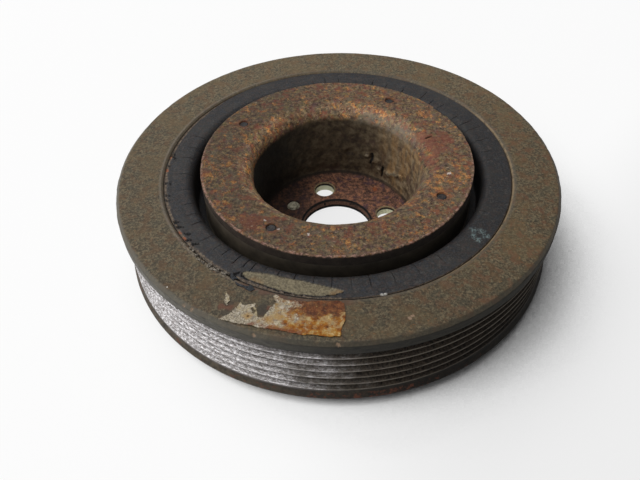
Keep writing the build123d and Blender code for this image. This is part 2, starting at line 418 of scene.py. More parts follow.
class Finish(Nodes):
    """A material. Sizes are in millimetres."""

    def __init__(self, name):
        self.material = bpy.data.materials.new(name)
        self.material.use_nodes = True
        super().__init__(self.material.node_tree)
        self.shader = self.tree.nodes["Principled BSDF"]
        place = self.add("ShaderNodeTexCoord").outputs["Object"]
        self.place = self.vector("SCALE", place, scale=1 / MM)
        self.flat = self.vector("MULTIPLY", self.place, (1, 1, 0))
        parts = self.add("ShaderNodeSeparateXYZ", Vector=self.place).outputs
        self.across, self.along, self.height = parts["X"], parts["Y"], parts["Z"]
        self.radius = self.vector("LENGTH", self.flat)
        self.angle = self.math("DEGREES", self.math("ARCTAN2", parts["Y"], parts["X"]))
        self.turn = self.math("ABSOLUTE", self.angle)
        self.polar = self.add("ShaderNodeCombineXYZ", X=self.radius, Y=self.turn, Z=self.height).outputs[0]

    def noise(self, size, detail, roughness, seed, stretch=(1, 1, 1), at=None):
        """Cloudy noise around 0.5."""
        at = self.vector("MULTIPLY", at or self.place, stretch)
        at = self.vector("ADD", at, (seed * 13.1, seed * 7.7, seed * 3.3))
        node = self.add("ShaderNodeTexNoise", Vector=at, Scale=1 / size, Detail=detail, Roughness=roughness)
        return node.outputs["Fac"]

    def patches(self, size, detail, roughness, seed, low, high):
        """A mask that is 1 where noise is over high."""
        return self.step(self.noise(size, detail, roughness, seed), low, high)

    def spots(self, places, height, size, wander, soft=0.35):
        """A mask of blots at (angle, radius) places, with edges that wander."""
        node = self.add("ShaderNodeTexNoise", Vector=self.place, Scale=1 / max(size, 0.8), Detail=3.0)
        shift = self.vector("SUBTRACT", node.outputs["Color"], (0.5, 0.5, 0.5))
        at = self.vector("ADD", self.place, self.vector("SCALE", shift, scale=2 * wander))
        masks = []
        for angle, radius in places:
            away = self.vector("DISTANCE", at, tuple(spoke(angle, radius, height)))
            masks.append(self.step(away, size * (1 + soft), size * (1 - soft)))
        return self.either(*masks)

    def ramp(self, value, low, high, *colours, stops=None):
        """Colours from low to high, evenly apart unless the stops say where."""
        node = self.add("ShaderNodeValToRGB", Fac=value)
        slots = node.color_ramp.elements
        while len(slots) < len(colours):
            slots.new(0.5)
        stops = stops or np.linspace(low, high, len(colours))
        for slot, position, colour in zip(slots, stops, colours):
            slot.position, slot.color = position, linear(*colour)
        return node.outputs["Color"]

    def layers(self, colour, *layers):
        """The colour under layers of (colour, then the masks and numbers of its share)."""
        for over, *shares in layers:
            colour = self.mix(self.both(*shares), colour, over)
        return colour

    def light(self, colour, factor, *masks):
        """The colour with its light multiplied by the factor where the masks are 1."""
        changed = self.vector("SCALE", colour, scale=factor)
        return self.mix(self.both(*masks), colour, changed) if masks else changed

    def attribute(self, name):
        node = self.add("ShaderNodeAttribute")
        node.attribute_name = name
        return node.outputs["Fac"]

    def bump(self, *layers):
        """Bumps of (height socket, depth) on top of each other."""
        normal = None
        for value, depth in layers:
            node = self.add("ShaderNodeBump", Height=value, Distance=depth * MM, Strength=1.0)
            if normal:
                self.put(node.inputs["Normal"], normal)
            normal = node.outputs["Normal"]
        self.put(self.shader.inputs["Normal"], normal)

    def end(self, colour, roughness, metallic, specular):
        names = "Base Color", "Roughness", "Metallic", "Specular IOR Level"
        for name, value in zip(names, (colour, roughness, metallic, specular)):
            self.put(self.shader.inputs[name], value)
        return self.material


def dress(piece, material, slot, *nodes):
    """Gives the piece its finish and its body, and hides the nodes that it stands for. The slot is not
    used.
    """
    piece.data.materials.clear()
    piece.data.materials.append(material)
    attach(piece, "root")
    if nodes:
        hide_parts(*nodes)
    return piece


# ---- the hub's finish: scale and rust in brown, olive and orange ----


def disc_rust_and_painted_light(s, fine, grain):
    """The front disc, brighter on its right and far sides, with painted light where it bends into the cup.
    """
    drift = s.noise(12, 5, 0.6, 3)
    tint = s.noise(2.2, 5, 0.7, 51)
    rust = s.ramp(fine, 0.38, 0.62, (112, 62, 34), (156, 98, 48), (190, 142, 80))
    glow = s.spots(OCHRE_PATCH, HUB_TOP, 2.2, 2.0, 0.7)
    glow = s.either(s.spots(RUST_PATCH, HUB_TOP, 3.2, 3.0, 0.7), glow)
    ochre = s.plus(s.plus(s.noise(2.6, 6, 0.75, 4), drift, 0.4), glow, 0.07)
    red = s.plus(s.noise(3.6, 6, 0.75, 5), s.spots(RED_PATCH, HUB_TOP, 4.0, 3.0, 0.6), 0.14)
    pins = s.spots([(angle, PIN_CIRCLE_R) for angle in PIN_ANGLES], HUB_TOP, 2.9, 1.2, 0.4)
    scale = [(40, 30, 25), (72, 58, 45), (94, 80, 60), (128, 108, 80)]
    disc = s.layers(
        s.ramp(grain, 0.39, 0.61, *scale, stops=(0.39, 0.46, 0.53, 0.61)),
        ((92, 86, 69), s.patches(6, 5, 0.7, 18, 0.50, 0.62), 0.5),
        ((100, 66, 46), s.patches(3.4, 6, 0.7, 19, 0.50, 0.62), 0.42),
        (rust, s.step(ochre, 0.74, 0.83), 0.72),
        ((86, 60, 66), s.step(tint, 0.54, 0.62), 0.4),
        ((122, 106, 54), s.step(tint, 0.45, 0.37), 0.4),
        ((108, 56, 42), s.step(red, 0.51, 0.62), 0.62),
        ((34, 26, 22), s.step(fine, 0.41, 0.33), 0.85),
        ((162, 146, 124), s.patches(0.9, 3, 0.6, 6, 0.62, 0.68), s.step(drift, 0.44, 0.52), 0.5),
        ((204, 194, 186), s.spots(PALE_FLECKS, HUB_TOP, 0.5, 0.9), 0.7),
        ((112, 66, 44), pins, s.step(grain, 0.42, 0.52), 0.7),
    )
    disc = s.light(disc, 1.24, s.step(s.across, -36, 10))
    disc = s.light(disc, 1.12, s.step(s.plus(s.across, s.along, 0.7), 0, 40))
    # Painted light: the bend into the cup is made brighter on the left and far sides, against the shading
    # of the bend.
    bend = s.step(s.radius, CUP_R + 6.9, CUP_R + 1.2)
    sides = s.either(s.step(s.across, -10, -28), s.both(s.step(s.along, 5, 28), 0.42))
    return s.light(disc, 3.4, bend, sides)


def wall_rust_and_painted_light(s):
    """The cup's wall: brown, with painted light on the right and painted shade on the left."""
    # Painted light on the right of the wall, and painted shade on its left, where it is also greyed.
    lit = s.both(s.step(s.angle, 75, 35), s.step(s.angle, -30, 0))
    dark = s.step(s.turn, 100, 150)
    streak = s.noise(4.0, 6, 0.7, 8, (1, 1, 0.25))
    wall = s.layers(
        s.ramp(s.noise(3.0, 6, 0.7, 7), 0.38, 0.62, (58, 47, 37), (83, 70, 53), (106, 93, 73)),
        ((130, 100, 62), s.step(streak, 0.46, 0.60), lit, 0.45),
        ((66, 46, 40), s.patches(5, 5, 0.65, 9, 0.55, 0.64), 0.5),
        ((60, 62, 60), dark, 0.6),
    )
    # Painted shade on the left and painted light on the right.
    return s.light(s.light(wall, 0.27, dark), 2.4, lit)


def floor_rust_and_painted_shadow(s):
    """The cup's floor, redder than the rest, with a painted shadow on the left."""
    floor = s.layers(
        s.ramp(s.noise(1.4, 6, 0.8, 10), 0.39, 0.61, (48, 33, 29), (108, 76, 61), (162, 110, 80)),
        ((70, 50, 60), s.patches(3, 5, 0.65, 11, 0.52, 0.62), 0.7),
        ((150, 82, 42), s.spots([(50.8, 26.4)], SHEET, 1.1, 1.0, 0.6), 0.8),
    )
    # Painted shadow on the left of the floor, under the cup's wall.
    return s.light(floor, 0.28, s.step(s.across, -3, -20))


def cup_layers(s, disc, fine, grain):
    """The disc's finish with the cup's over it: wall, worn mouth, floor, painted shade in the corner and
    round the bore, and bore.
    """
    edge = s.plus(s.plus(s.height, s.step(s.across, -10, -28), 1.8), grain, 1.6)
    mouth = s.both(s.band(s.height, HUB_TOP - 6.5, HUB_TOP - 2.1, 1.3), s.band(s.angle, 20, 74, 12))
    mouth = s.both(mouth, s.step(s.radius, CUP_R + 3.85, CUP_R + 2.65))
    on_floor = s.step(s.radius, CUP_R + 0.5, CUP_R - 1)
    corner = s.band(s.radius, CUP_R - 2.4, CUP_R + 0.3, 0.4)
    bare_steel = s.ramp(fine, 0.4, 0.6, (84, 56, 44), (128, 92, 72))
    in_bore = s.step(s.radius, BORE_R + 0.25, BORE_R + 0.15)
    return s.layers(
        disc,
        (wall_rust_and_painted_light(s), s.step(edge, HUB_TOP - 3.4, HUB_TOP - 6), s.step(s.radius, CUP_R + 4, CUP_R + 3)),
        ((136, 130, 116), mouth, s.patches(2.4, 5, 0.7, 12, 0.30, 0.62), 0.75),
        (floor_rust_and_painted_shadow(s), s.step(s.height, SHEET + 1.6, SHEET + 0.5), on_floor),
        # Painted shade in the corner between the cup's wall and floor.
        ((26, 20, 16), s.band(s.height, SHEET + 0.6, SHEET + 1.7, 0.35), corner, 0.75),
        # Painted shade on the bore's chamfer and at the foot of its wall.
        ((17, 14, 12), s.step(s.radius, BORE_R + 0.9, BORE_R + 0.6)),
        (bare_steel, in_bore, s.band(s.height, 1.2, SHEET - 0.9, 0.3)),
    )


def bolt_hole_layers(s, colour, fine):
    """A clamped ring round each bolt hole, and the hole's wall, with painted light low down and painted
    shade above.
    """
    for angle in BOLT_ANGLES:
        away = s.vector("DISTANCE", s.flat, tuple(spoke(angle, BOLT_CIRCLE_R)))
        clamped = s.both(s.band(away, BOLT_R + 0.05, BOLT_R + 0.6, 0.2), s.step(fine, 0.36, 0.50), 0.8)
        wall = s.step(away, BOLT_R + 0.12, BOLT_R + 0.02)
        # Painted light low on the hole's wall and painted shade above.
        painted_hole_wall = s.mix(s.step(s.height, SHEET - 1.7, SHEET - 1.1), (236, 236, 208), (34, 30, 24))
        ring = ((146, 134, 98), clamped, s.step(s.height, SHEET - 0.7, SHEET - 0.4))
        colour = s.layers(colour, ring, (painted_hole_wall, wall, s.step(s.height, SHEET - 0.3, SHEET - 0.5)))
    return colour


def in_shade(s):
    """Where shade is painted: the near side, under the disc's and the ring's edges."""
    return s.both(s.step(s.angle, -150, -80), s.step(s.angle, 60, 0))


def rim_layers(s, colour, fine):
    """The hidden side of the hub, the disc's edge with painted shade on its near side, a painted highlight
    along its near rim, pale flakes and dark splits.
    """
    outside = s.step(s.radius, CUP_R + 1.2, CUP_R + 2.2)
    hidden = s.ramp(s.noise(3, 4, 0.6, 13), 0.35, 0.65, (52, 42, 35), (84, 66, 50))
    ragged = s.plus(s.height, s.noise(2.2, 5, 0.7, 14), 0.9)
    edge = s.step(ragged, HUB_TOP + 0.2, HUB_TOP - 0.1)
    skirt = s.ramp(s.noise(2.6, 5, 0.6, 15), 0.36, 0.66, (56, 47, 41), (78, 67, 58))
    # Painted highlight: a pale line along the near side of the disc's rim.
    rim = s.step(s.plus(s.radius, s.noise(1.8, 5, 0.7, 20), 1.4), HUB_R - 0.4, HUB_R + 0.1)
    rim = s.both(rim, s.step(s.height, HUB_TOP - 0.8, HUB_TOP - 0.4), s.step(s.along, 20, -5))
    return s.layers(
        colour,
        (hidden, s.step(s.height, DISC_UNDER - 0.3, DISC_UNDER - 0.7), outside),
        # Painted shade on the near side of the disc's edge.
        (s.light(skirt, 0.4, in_shade(s)), s.step(s.radius, HUB_R - 0.35, HUB_R - 0.15), edge),
        ((174, 136, 120), rim, s.patches(1.3, 5, 0.75, 16, 0.46, 0.58), 0.8),
        (s.ramp(fine, 0.35, 0.65, (112, 98, 78), (164, 150, 126)), s.attribute("flaked")),
        ((18, 14, 12), s.attribute("split")),
    )


def rusted_steel():
    s = Finish("rusted_steel")
    fine = s.noise(0.7, 4, 0.7, 1)
    grain = s.noise(1.5, 6, 0.8, 2)
    colour = cup_layers(s, disc_rust_and_painted_light(s, fine, grain), fine, grain)
    colour = rim_layers(s, bolt_hole_layers(s, colour, fine), fine)
    s.bump((fine, 0.08), (grain, 0.22), (s.noise(2.4, 3, 0.6, 17), 0.2))
    return s.end(colour, 0.78, 0.0, 0.35)


# ---- the ring's finish: thin brown oxide, metal rubbed bright by the belt, and painted light and shade ----


def face_oxide_and_painted_light(s, fine, drift, left):
    """The front face, with a rubbed rim, a paler edge next to the rubber, and painted light and shade."""
    cloud = s.noise(17, 5, 0.65, 23)
    right = s.both(s.step(s.angle, -90, -50), s.step(s.angle, 70, 20))
    face = s.layers(
        s.ramp(fine, 0.39, 0.61, (50, 43, 31), (84, 74, 55), (120, 107, 82)),
        ((92, 67, 42), s.step(drift, 0.48, 0.60), 0.6),
        ((64, 62, 48), s.step(drift, 0.46, 0.38), 0.45),
        ((99, 84, 56), s.step(cloud, 0.50, 0.58), 0.35),
        ((138, 94, 52), s.patches(1.1, 5, 0.7, 24, 0.60, 0.68), s.step(cloud, 0.46, 0.56), 0.7),
        ((104, 70, 48), s.patches(3.2, 5, 0.7, 25, 0.53, 0.62), right, 0.55),
    )
    # Painted sheen on the far side and painted shade on the near side.
    face = s.light(s.light(face, 1.08), 1.22, s.step(s.along, 0, 66))
    face = s.light(face, 0.88, s.step(s.along, -40, -72))
    worn = s.plus(s.radius, s.noise(3, 5, 0.65, 26), 1.6)
    # The edge next to the rubber is paler on the left as painted light.
    inner = s.mix(s.step(s.across, 0, -50), (96, 90, 80), (132, 124, 114))
    # Painted highlight: a pale line on the seam's chamfer on the right.
    line = s.both(s.band(s.radius, SEAT_R + 0.2, SEAT_R + 0.75, 0.15), s.band(s.angle, -62, 32, 8))
    return s.layers(
        face,
        # The rubbed rim, paler on the left as painted light.
        (s.mix(left, (60, 57, 49), (100, 97, 88)), s.step(worn, RING_R - 1.1, RING_R + 0.1), 0.7),
        (inner, s.band(s.radius, SEAT_R + 0.35, SEAT_R + 1.7, 0.35), 0.38),
        # Painted shadow in the seam next to the rubber.
        ((44, 36, 29), s.step(s.radius, SEAT_R + 0.4, SEAT_R + 0.15), 0.8),
        ((150, 128, 96), line, s.patches(2.4, 4, 0.7, 42, 0.38, 0.5), 0.6),
    )


def face_litter(s, face, drift):
    """What lies on the front face round the label: rubber crumbs, a thread, rust and soot."""
    crumbs = s.layers(
        s.ramp(s.noise(0.9, 5, 0.8, 36), 0.40, 0.60, (40, 36, 33), (108, 92, 74), (176, 164, 146)),
        ((132, 78, 46), s.patches(1.7, 5, 0.7, 37, 0.54, 0.62)),
    )
    frayed = s.both(s.band(s.angle, -146, -122, 5), s.step(s.radius, SEAT_R + 2.6, SEAT_R + 1.0))
    thread = s.both(s.band(s.radius, SEAT_R + 0.35, SEAT_R + 0.8, 0.12), s.band(s.angle, -93.5, -86.8, 1.0))
    inside_label = s.both(s.band(s.angle, -118, -86, 2.5), s.band(s.radius, SEAT_R + 0.4, 67.8, 0.7))
    rust = s.spots([(-117.8, 76.6), (-116.1, 75.9)], RING_FRONT, 1.3, 1.2)
    rust = s.either(s.spots([(-107.0, 71.6)], RING_FRONT, 0.9, 0.8), rust)
    return s.layers(
        face,
        (crumbs, frayed, s.patches(1.2, 5, 0.75, 38, 0.42, 0.56), 0.85),
        ((168, 160, 128), thread, s.patches(1.0, 4, 0.7, 39, 0.40, 0.52), 0.8),
        ((92, 60, 46), inside_label, s.step(drift, 0.34, 0.5), 0.7),
        ((50, 45, 38), s.spots([(-108.1, 73.6), (-108.4, 72.2)], RING_FRONT, 1.6, 0.8), 0.75),
        ((104, 62, 44), rust, 0.7),
        ((54, 48, 40), s.spots([(-115.8, 78.3), (-117, 74.4)], RING_FRONT, 1.5, 1.4), 0.6),
    )


def flange_side(s, left):
    """The outside of the front flange, brushed along its length, with painted light on the left and painted
    shade on the right.
    """
    brushed = s.noise(0.7, 4, 0.7, 40, (1, 0.25, 1), s.polar)
    tarnish = s.plus(s.both(s.noise(2.0, 6, 0.7, 27), 0.4), brushed, 0.6)
    painted_lit_left = s.ramp(tarnish, 0.38, 0.62, (64, 61, 53), (112, 107, 96))
    # Painted light on the left and painted shade on the right.
    return s.mix(left, s.ramp(tarnish, 0.38, 0.62, (29, 28, 24), (47, 44, 37)), painted_lit_left)


def back_flange(s, left, painted_shade_right):
    """The back flange: darker, blistered red at the foot, with a rubbed land above, and painted light on
    the left and painted shade on the near right.
    """
    patchy = s.noise(1.8, 6, 0.7, 28)
    painted_lit_left = s.ramp(patchy, 0.36, 0.64, (52, 46, 37), (92, 82, 67))
    back = s.mix(left, s.ramp(patchy, 0.36, 0.64, (36, 32, 27), (70, 61, 50)), painted_lit_left)
    blister = s.plus(s.noise(2.6, 6, 0.8, 29, (1, 1, 1.5)), s.band(s.angle, -97, -72, 4), 0.05)
    near_or_back = s.either(s.step(s.angle, -48, -60), s.step(s.angle, 20, 60))
    # The rubbed land is shown pale only on the left, as painted light.
    rubbed = s.either(s.step(s.angle, -85, -110), s.step(s.angle, 70, 130))
    return s.layers(
        # Painted shade on the near right.
        s.light(back, 0.22, painted_shade_right),
        ((104, 58, 40), s.step(blister, 0.55, 0.63), s.step(s.height, 7.4, 6.6), near_or_back, 0.75),
        ((128, 121, 122), s.band(s.height, FIELD_BOTTOM - 0.75, FIELD_BOTTOM - 0.1, 0.12), rubbed, 0.7),
    )


def belt_polish_and_painted_shine(s, bare_and_painted_shine):
    """Where the belt has rubbed the ribs bright: their crests, and their flanks too on the side where a
    shine is painted.
    """
    rubbed = s.plus(0.15, s.step(s.radius, RIB_R - GROOVE_DEPTH + 0.3, RIB_R - 1.0), 0.85)
    grit = s.step(s.noise(0.5, 5, 0.8, 31, (1, 0.6, 1.3), s.polar), 0.42, 0.56)
    flank = s.both(bare_and_painted_shine, rubbed, s.plus(0.4, grit, 0.6))
    whole = s.step(s.noise(1.4, 5, 0.75, 32, (1, 0.2, 1), s.polar), 0.36, 0.46)
    crest = s.both(s.step(s.radius, RIB_R - 0.30, RIB_R - 0.12), s.plus(0.4, bare_and_painted_shine, 0.6), whole)
    return s.either(crest, flank)


def groove_dirt_and_painted_shade(s, bare_and_painted_shine, right, painted_shade_low_right):
    """What fills the grooves, with painted shade on the right and a painted shadow under the front flange.
    """
    dirt = s.ramp(s.noise(0.8, 6, 0.8, 33), 0.40, 0.60, (24, 21, 18), (84, 73, 62))
    # Painted light: paler where the ribs' shine is painted.
    dirt = s.layers(dirt, ((80, 74, 68), bare_and_painted_shine, 0.35))
    # Painted shade on the right and on the lower grooves there, and a painted shadow under the front
    # flange.
    dirt = s.light(dirt, 0.6, s.step(s.angle, -82, -55), right)
    dirt = s.light(dirt, 0.6, painted_shade_low_right)
    return s.light(dirt, 0.15, s.step(s.height, FIELD_TOP - 0.7, FIELD_TOP - 0.1))


def oxidised_iron():
    s = Finish("oxidised_iron")
    fine = s.noise(0.85, 5, 0.8, 21)
    drift = s.noise(4, 6, 0.7, 22)
    # The left side, where the flanges and the face's edges get painted light.
    left = s.both(s.step(s.across, 5, -55), s.step(s.along, 45, 0))
    right = s.step(s.angle, 120, 60)
    # Painted shade: the lower grooves on the right.
    painted_shade_low_right = s.both(s.step(s.angle, -80, -45), s.step(s.height, 19, 11), right)
    # Painted shade: the near right of the back flange, which is also made rougher.
    painted_shade_right = s.both(s.step(s.angle, -115, -62), s.step(s.angle, 40, 10))
    below_face = s.step(s.height, RING_FRONT - 0.9, RING_FRONT - 1.3)
    on_back = s.step(s.height, FIELD_BOTTOM + 0.1, FIELD_BOTTOM - 0.1)
    grooves = s.both(s.step(s.height, FIELD_BOTTOM - 0.1, FIELD_BOTTOM + 0.1), s.step(s.radius, 70, 72))
    grooves = s.both(grooves, s.step(s.height, FIELD_TOP + 0.3, FIELD_TOP))
    # Painted shine: the ribs' flanks are shown rubbed bright only on the left-front and back-left, and the
    # lower grooves on the right lose their shine as painted shade.
    sector = s.plus(s.angle, s.math("SUBTRACT", s.noise(9, 5, 0.65, 30), 0.5), 60)
    bare_and_painted_shine = s.either(s.step(sector, -78, -108), s.step(sector, 70, 130))
    polish_and_painted_shine = s.both(belt_polish_and_painted_shine(s, bare_and_painted_shine), grooves, s.plus(1.0, painted_shade_low_right, -0.7))
    shine = s.noise(0.45, 4, 0.8, 35, (1, 0.6, 1), s.polar)
    silver = s.ramp(shine, 0.40, 0.60, (146, 140, 138), (206, 202, 202), (246, 244, 246))
    # Painted shadow: a near black band under the front flange's lip.
    painted_shadow_under_flange = s.band(s.height, FIELD_TOP - 0.05, FIELD_TOP + 0.75, 0.1)
    colour = s.layers(
        face_litter(s, face_oxide_and_painted_light(s, fine, drift, left), drift),
        (flange_side(s, left), below_face, s.step(s.radius, 72, 74)),
        (back_flange(s, left, painted_shade_right), on_back),
        (groove_dirt_and_painted_shade(s, bare_and_painted_shine, right, painted_shade_low_right), grooves),
        # Rubbed metal is silver on the side where the shine is painted and duller elsewhere.
        (s.mix(bare_and_painted_shine, (150, 142, 130), silver), polish_and_painted_shine),
        ((20, 18, 15), painted_shadow_under_flange, s.step(s.radius, 80, 81)),
        ((150, 124, 100), s.spots(RIM_DENTS, RING_FRONT - 0.7, 0.65, 0.7), 0.75),
        ((146, 122, 100), s.spots([(-73.4, 75.9), (-72.6, 75.4)], RING_FRONT, 0.55, 0.7)),
        ((224, 220, 208), s.spots([(-132.0, 80.7)], RING_FRONT, 0.22, 0.05)),
    )
    s.bump((fine, 0.04), (s.noise(1.6, 5, 0.65, 34), 0.08))
    roughness = s.plus(s.plus(0.52, polish_and_painted_shine, -0.1), s.both(painted_shade_right, below_face), 0.4)
    return s.end(colour, roughness, s.both(polish_and_painted_shine, 0.9), 0.35)


# ---- the other finishes ----


def old_rubber():
    """Charcoal and dull, with its torn places and the primer under its peeled skin, and painted shade on
    its right and on the near side of its skin.
    """
    s = Finish("old_rubber")
    fine = s.noise(0.6, 5, 0.7, 41)
    hue = s.noise(1.2, 5, 0.7, 49)
    charcoal = s.ramp(fine, 0.37, 0.63, (22, 21, 22), (41, 40, 41), (64, 62, 62))
    charcoal = s.light(charcoal, 0.72, s.step(s.noise(0.8, 3, 0.6, 50, (1, 0.04, 1), s.polar), 0.5, 0.36))
    charcoal = s.layers(
        charcoal,
        ((56, 54, 49), s.patches(8, 4, 0.6, 42, 0.46, 0.62), 0.4),
        ((66, 50, 46), s.step(hue, 0.52, 0.60), 0.5),
        ((38, 45, 58), s.step(hue, 0.46, 0.38), 0.5),
    )
    # Painted shade on the right.
    charcoal = s.light(charcoal, 0.72, s.step(s.across, 25, 55), s.step(s.along, 45, 10))
    charcoal = s.light(charcoal, 0.62, s.step(s.height, RUBBER_FRONT - 0.6, RUBBER_FRONT - 2.5))
    inner_side = s.step(s.radius, HUB_R + 0.5, HUB_R + 0.2)
    # Painted shade on the near side of the skin.
    skin = s.light(s.ramp(s.noise(5, 4, 0.6, 43), 0.35, 0.65, (70, 63, 54), (96, 87, 74)), 0.5, in_shade(s))
    primer_rust = [(-115.5, 62.7), (-113.5, 62.8), (-89.4, 61.7), (-91.0, 62.9)]
    primer = s.layers(
        s.ramp(s.noise(0.8, 6, 0.8, 44), 0.39, 0.61, (78, 70, 53), (142, 131, 104)),
        ((146, 106, 58), s.spots(primer_rust, RUBBER_FRONT - 0.6, 1.2, 1.4, 0.9), 0.4),
    )
    edge_rust = [(174.7, 65), (-178.4, 64.6), (-147, 64.6), (-143.8, 64.6)]
    tan = s.layers(
        s.ramp(s.noise(1.1, 6, 0.75, 45), 0.36, 0.64, (54, 44, 37), (98, 82, 67), (136, 122, 102)),
        ((150, 84, 48), s.spots(edge_rust, RUBBER_FRONT - 0.6, 0.9, 0.8), 0.8),
    )
    chalk = [(-37.3, 58.5), (-36.2, 60.9), (-37.4, 63.0), (-40.4, 61.9), (-39.6, 59.6)]
    chalk = s.spots(chalk, RUBBER_FRONT - 0.1, 1.1, 1.4, 0.6)
    on_top = s.step(s.height, RUBBER_FRONT - 1, RUBBER_FRONT - 0.4)
    colour = s.layers(
        charcoal,
        (skin, s.step(s.height, DISC_UNDER + 0.1, DISC_UNDER - 0.2), inner_side),
        (primer, s.attribute("peeled")),
        (tan, s.attribute("bared")),
        ((13, 12, 13), s.attribute("torn")),
        ((118, 138, 138), chalk, s.patches(0.8, 5, 0.7, 46, 0.44, 0.56), 0.7),
        ((98, 94, 88), s.patches(1.6, 6, 0.75, 47, 0.54, 0.66), on_top, 0.35),
        ((200, 198, 192), s.spots([(-77.6, 64.9), (-76.7, 65.0)], RUBBER_FRONT, 0.6, 0.5)),
    )
    s.bump((fine, 0.04), (s.noise(3, 4, 0.6, 48), 0.08))
    return s.end(colour, 0.6, 0.0, 0.4)


def stained_paper():
    """The label: torn white fibres on the left, soaked with rust on the right."""
    s = Finish("stained_paper")
    fibre = s.noise(0.55, 6, 0.8, 61)
    cloud = s.noise(2.6, 6, 0.65, 62)
    around = s.plus(s.angle, s.math("SUBTRACT", cloud, 0.5), 34)
    outward = s.plus(s.radius, s.math("SUBTRACT", cloud, 0.5), 18)
    white = s.layers(
        s.ramp(fibre, 0.38, 0.60, (100, 90, 76), (156, 144, 124), (206, 196, 174)),
        ((112, 106, 106), s.patches(1.6, 5, 0.7, 67, 0.54, 0.63), 0.6),
        ((216, 206, 188), s.patches(2.0, 5, 0.7, 68, 0.55, 0.64), 0.7),
        ((166, 132, 76), s.patches(2.2, 5, 0.7, 66, 0.52, 0.62), s.step(s.angle, -113, -106), 0.75),
    )
    blotch = s.plus(s.both(s.noise(3.0, 4, 0.6, 63), 0.75), fibre, 0.25)
    yellows = [(88, 50, 26), (152, 92, 32), (166, 120, 52), (194, 170, 120)]
    yellow = s.ramp(blotch, 0.38, 0.61, *yellows, stops=(0.38, 0.47, 0.54, 0.61))
    red = s.ramp(s.noise(1.6, 6, 0.75, 64), 0.39, 0.61, (64, 41, 35), (100, 60, 42), (134, 86, 54))
    halo = [(-110.8, 76.8), (-105.8, 76.0), (-104, 74.4)]
    colour = s.layers(
        white,
        (yellow, s.step(around, -106, -97)),
        (red, s.step(around, -104, -99), s.step(outward, 74.5, 70.5), 0.92),
        ((182, 164, 122), s.patches(1.8, 6, 0.7, 65, 0.47, 0.58), s.band(outward, 72.5, 77.0, 1.5), 0.6),
        ((170, 130, 66), s.spots(halo, RING_FRONT, 1.3, 0.9, 0.6), 0.6),
        ((74, 46, 26), s.spots(halo[:1], RING_FRONT, 0.4, 0.3)),
        ((118, 62, 38), s.band(around, -107, -96, 2), s.step(s.radius, 77.4, 78.8), 0.75),
    )
    colour = s.light(colour, 0.6, s.step(s.attribute("edge"), 0.3, 0.0), 0.45)
    s.bump((fibre, 0.12), (cloud, 0.2))
    return s.end(colour, 0.85, 0.0, 0.25)


def plain(name, colours, size, seed, roughness, depth):
    """A mottled finish for a small piece."""
    s = Finish(name)
    colour = s.ramp(s.noise(size, 5, 0.65, seed), 0.35, 0.65, *colours)
    s.bump((s.noise(size, 4, 0.65, 3), depth))
    return s.end(colour, roughness, 0.0, 0.3)


# ---- the hub ----

HUB_OUTLINE = [
    (BORE_R, 0.0, 0, 0.6),
    (BORE_R, SHEET - 0.5, 0, 0.4),
    (BORE_R + 0.5, SHEET, 0, 0.75),
    (CUP_R, SHEET, 3, 0.55),
    (CUP_R, HUB_TOP, MOUTH_ROUND, 0.5),
    (HUB_R, HUB_TOP, 0.35, 0.5),
    (HUB_R, DISC_UNDER, 0, 2),
    (COLLAR_R, DISC_UNDER, 0, 3),
    (COLLAR_R, COLLAR_END, 0, 2),
    (COLLAR_IN, COLLAR_END, 0, 3),
    (COLLAR_IN, DISC_UNDER, 0, 3),
    (CUP_R + SHEET, DISC_UNDER, 2.4, 1.5),
    (CUP_R + SHEET, 0.0, 7, 3),
]


def wall_blots(place, blots, squash, core, wander=0.0):
    """1 on the cup wall's (angle, height, size) blots, flattened by squash, fading outside their core."""
    found = np.zeros(len(place.angle))
    for angle, height, size in blots:
        aside = np.radians(turn_from(place.angle, angle)) * CUP_R
        away = np.hypot(aside, (place.height - height) * squash) + wander
        found = np.maximum(found, smooth(away, size, size * core))
    return found


def hub_marks(place):
    """Pale torn scabs on the lit side of the cup, and splits in the wall and in the disc."""
    turn = turn_from(place.angle, 0)
    wander = lumps(place.at, 1.5, 3, 51) * 0.5
    on_wall = (place.radius < CUP_R + 1) & (place.height > SHEET)
    scabs = wall_blots(place, CUP_SCABS, 1.3, 0.45, wander)
    flaked = wall_blots(place, CUP_FLAKES, 1.5, 0.6, wander)
    split = np.zeros(len(turn))
    for line in CUP_SPLITS:
        ends = [np.array([math.radians(angle) * CUP_R, height]) for angle, height in line]
        for start, end in zip(ends, ends[1:]):
            here = np.stack([np.radians(turn) * CUP_R, place.height], 1) - start
            share = np.clip(here @ (end - start) / ((end - start) @ (end - start)), 0, 1)
            away = np.linalg.norm(here - share[:, None] * (end - start), axis=1) + wander * 0.5
            split = np.maximum(split, smooth(away, 0.75, 0.3))
    nick = np.hypot((turn - 34.5) / 4.5, (place.radius - HUB_R) / 0.9) + wander * 0.4
    gash = np.hypot((turn - 18.2) / 0.8, (place.radius - 37.6) / 2.2) + wander * 0.3
    on_disc = (place.height > HUB_TOP - 2) & (place.radius > CUP_R + 3)
    split = np.where(on_disc, np.maximum(smooth(nick, 1, 0.7), smooth(gash, 1, 0.5)), split * on_wall)
    return {"flaked": flaked * on_wall, "split": split, "scabs": scabs * on_wall}


